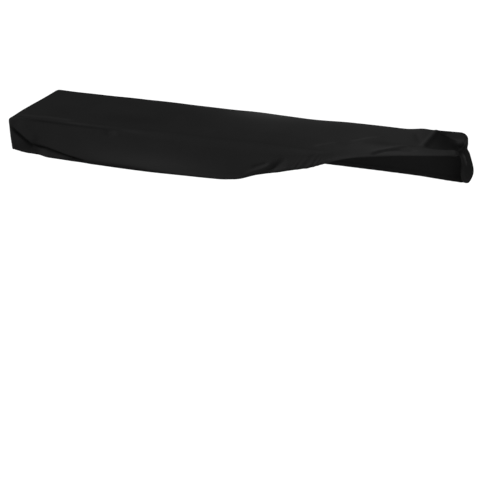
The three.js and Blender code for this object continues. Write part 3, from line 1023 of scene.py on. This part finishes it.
@dataclass(frozen=True)
class StretchCloth:
    """The finish of the cover: a matt black stretch knit with light and shade painted into its colour, paler
    on painted highlights and where stretched, darker in the painted shade of creases and hollows.
    """

    name: str = "black_stretch_cloth"
    shade_colour: Colour = (0.0061, 0.0061, 0.0061)
    lit_colour: Colour = (0.0163, 0.0163, 0.0163)
    thread: Colour = (0.019, 0.019, 0.019)
    roughness: tuple[float, float] = (0.8, 0.95)
    specular: float = 0.0
    mottling: float = 0.22
    mottle_scales: tuple[float, float] = (14.0, 190.0)
    mottle_shares: tuple[float, float] = (0.65, 0.35)
    mottle_detail: float = 3.0
    knit_depth: float = 0.00012
    knit_strength: float = 0.35
    thread_depth: float = 0.0004
    thread_strength: float = 0.6
    stitch_rows: tuple[float, float] = (0.0103, 0.0079)

    def material(self) -> bpy.types.Material:
        """Builds the material.

        Returns:
            A Principled material whose colour follows the painted light and shade stored on the cloth, going
            past the lit colour for painted highlights. Colour and roughness wander with two sizes of noise,
            and its bump has the knit and two rows of stitches.
        """
        material = bpy.data.materials.new(self.name)
        material.use_nodes = True
        material.node_tree.nodes.clear()
        graph = Graph(material.node_tree)
        spot = graph.add("ShaderNodeTexCoord").outputs["Object"]
        noises = [
            graph.add("ShaderNodeTexNoise", {"Vector": spot, "Scale": scale, "Detail": self.mottle_detail})
            for scale in self.mottle_scales
        ]
        broad, fine = (
            graph.math("MULTIPLY", noise.outputs["Fac"], share)
            for noise, share in zip(noises, self.mottle_shares)
        )
        mottle = graph.math("ADD", broad, fine)
        cloth_place = graph.add("ShaderNodeUVMap", uv_map="cloth").outputs["UV"]
        knit = graph.add("ShaderNodeGroup", {"Place": cloth_place}, node_tree=KnitGroup.make())
        hem_place = graph.add("ShaderNodeUVMap", uv_map="hem").outputs["UV"]
        stitch = HemStitchGroup.make()
        rows = [
            graph.add("ShaderNodeGroup", {"Place": hem_place, "Row": height}, node_tree=stitch)
            for height in self.stitch_rows
        ]
        thread = graph.math("MAXIMUM", *(row.outputs["Thread"] for row in rows))
        # Painted light and shade from the mesh, with random mottle, sets where the colour lies between the
        # shaded and lit colours.
        strain_and_painted_light = graph.add("ShaderNodeAttribute", attribute_name="strain_and_painted_light").outputs["Fac"]
        uneven = graph.math("MULTIPLY", graph.math("SUBTRACT", mottle, 0.5), self.mottling)
        painted_light_and_mottle = graph.math("ADD", strain_and_painted_light, uneven)
        colour = self.mixed(graph, painted_light_and_mottle, (*self.shade_colour, 1.0), (*self.lit_colour, 1.0))
        colour = self.mixed(graph, thread, colour, (*self.thread, 1.0))
        low, high = self.roughness
        rough = graph.math("MULTIPLY_ADD", mottle, high - low, low)
        normal = {}
        for height, strength, depth in (
            (knit.outputs["Height"], self.knit_strength, self.knit_depth),
            (thread, self.thread_strength, self.thread_depth),
        ):
            bump = graph.add(
                "ShaderNodeBump",
                {"Strength": strength, "Distance": depth, "Height": height, **normal},
            )
            normal = {"Normal": bump.outputs["Normal"]}
        shader = graph.add(
            "ShaderNodeBsdfPrincipled",
            {
                "Base Color": colour,
                "Roughness": rough,
                "Specular IOR Level": self.specular,
                **normal,
            },
        )
        graph.add("ShaderNodeOutputMaterial", {"Surface": shader.outputs["BSDF"]})
        return material

    @staticmethod
    def mixed(graph: Graph, factor: bpy.types.NodeSocket, first: Any, second: Any) -> bpy.types.NodeSocket:
        """The colour between two others, or past the second, as the output socket of a Mix node."""
        node = graph.add("ShaderNodeMix", data_type="RGBA", clamp_factor=False)
        sockets = [socket for socket in node.inputs if socket.enabled]
        for socket, value in zip(sockets, (factor, first, second)):
            if isinstance(value, bpy.types.NodeSocket):
                graph.tree.links.new(value, socket)
            else:
                socket.default_value = value
        return next(socket for socket in node.outputs if socket.enabled)


@dataclass(frozen=True)
class Viewpoint:
    """Where the picture is taken from, in metres and degrees, with the focal length in picture widths."""

    place: Point = (1.463, -3.742, 0.8755)
    yaw: float = -20.94
    pitch: float = 17.03
    roll: float = -1.70
    focal: float = 1386.0 / 480.0
    sensor: float = 36.0

    def camera(self) -> bpy.types.Object:
        """Builds the camera and makes it the scene's own.

        Returns:
            The camera, looking along its yaw and down by its pitch, and turned about that line by its roll.
        """
        yaw, pitch, roll = (math.radians(angle) for angle in (self.yaw, self.pitch, self.roll))
        ahead = Vector((math.sin(yaw) * math.cos(pitch), math.cos(yaw) * math.cos(pitch), -math.sin(pitch)))
        right = Vector((math.cos(yaw), -math.sin(yaw), 0.0))
        down = ahead.cross(right)
        turned_right = right * math.cos(roll) + down * math.sin(roll)
        turned_down = down * math.cos(roll) - right * math.sin(roll)
        data = bpy.data.cameras.new("camera")
        data.sensor_width = self.sensor
        data.lens = self.focal * self.sensor
        camera = bpy.data.objects.new("camera", data)
        turn = Matrix((turned_right, -turned_down, -ahead)).transposed()
        camera.matrix_world = Matrix.Translation(self.place) @ turn.to_4x4()
        bpy.context.scene.collection.objects.link(camera)
        bpy.context.scene.camera = camera
        return camera


@dataclass(frozen=True)
class Lamp:
    """A sun-like studio lamp: the direction towards it, its strength and how wide it looks, in degrees."""

    name: str
    towards: Point
    strength: float
    width: float

    def light(self) -> bpy.types.Object:
        """Builds the lamp, shining from its direction on the whole scene."""
        data = bpy.data.lights.new(self.name, "SUN")
        data.energy = self.strength
        data.angle = math.radians(self.width)
        lamp = bpy.data.objects.new(self.name, data)
        lamp.rotation_euler = Vector(self.towards).to_track_quat("Z", "Y").to_euler()
        bpy.context.scene.collection.objects.link(lamp)
        return lamp


@dataclass(frozen=True)
class Studio:
    """A plain pale floor under soft light, and the camera."""

    floor_height: float = -1.5
    floor_reach: float = 30.0
    floor_colour: Colour = (0.85, 0.85, 0.85)
    floor_roughness: float = 0.9
    world: float = 0.4
    lamps: tuple[Lamp, ...] = (
        Lamp("key", (-0.84, -0.27, 0.47), 5.5, 20.0),
        Lamp("fill", (0.60, -0.80, 0.05), 0.95, 60.0),
    )

    def floor(self) -> bpy.types.Object:
        """Builds the floor as one large flat square.

        Returns:
            The floor.
        """
        reach, low = self.floor_reach, self.floor_height
        corners = [(-reach, -reach, low), (reach, -reach, low), (reach, reach, low), (-reach, reach, low)]
        mesh = bpy.data.meshes.new("floor")
        mesh.from_pydata(corners, [], [(0, 1, 2, 3)])
        material = bpy.data.materials.new("pale_floor")
        material.use_nodes = True
        shader = material.node_tree.nodes["Principled BSDF"]
        shader.inputs["Base Color"].default_value = (*self.floor_colour, 1.0)
        shader.inputs["Roughness"].default_value = self.floor_roughness
        shader.inputs["Specular IOR Level"].default_value = 0.0
        mesh.materials.append(material)
        floor = bpy.data.objects.new("floor", mesh)
        bpy.context.scene.collection.objects.link(floor)
        return floor

    def build(self) -> None:
        """Sets the colours of the picture, the even light from all round, the lamps, floor and camera."""
        scene = bpy.context.scene
        scene.view_settings.view_transform = "Standard"
        scene.view_settings.look = "None"
        world = bpy.data.worlds.new("studio")
        world.use_nodes = True
        background = world.node_tree.nodes["Background"].inputs
        background["Color"].default_value = (1.0, 1.0, 1.0, 1.0)
        background["Strength"].default_value = self.world
        scene.world = world
        for lamp in self.lamps:
            lamp.light()
        self.floor()
        Viewpoint().camera()


@dataclass(frozen=True)
class FlatCut:
    """The cloth as it was cut, in metres: the smallest rectangle that holds it, and its own area."""

    width: float = 0.58
    length: float = 1.62
    area: float = 0.71


def main() -> None:
    logging.basicConfig(level=logging.INFO, format="%(message)s")
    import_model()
    cover = CoverSheet().build("cover_cloth", StretchCloth().material())
    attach(cover, "root")
    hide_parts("cover")
    log.info("%s: %d faces", cover.name, len(cover.data.polygons))
    Studio().build()


if __name__ == "__main__":
    main()
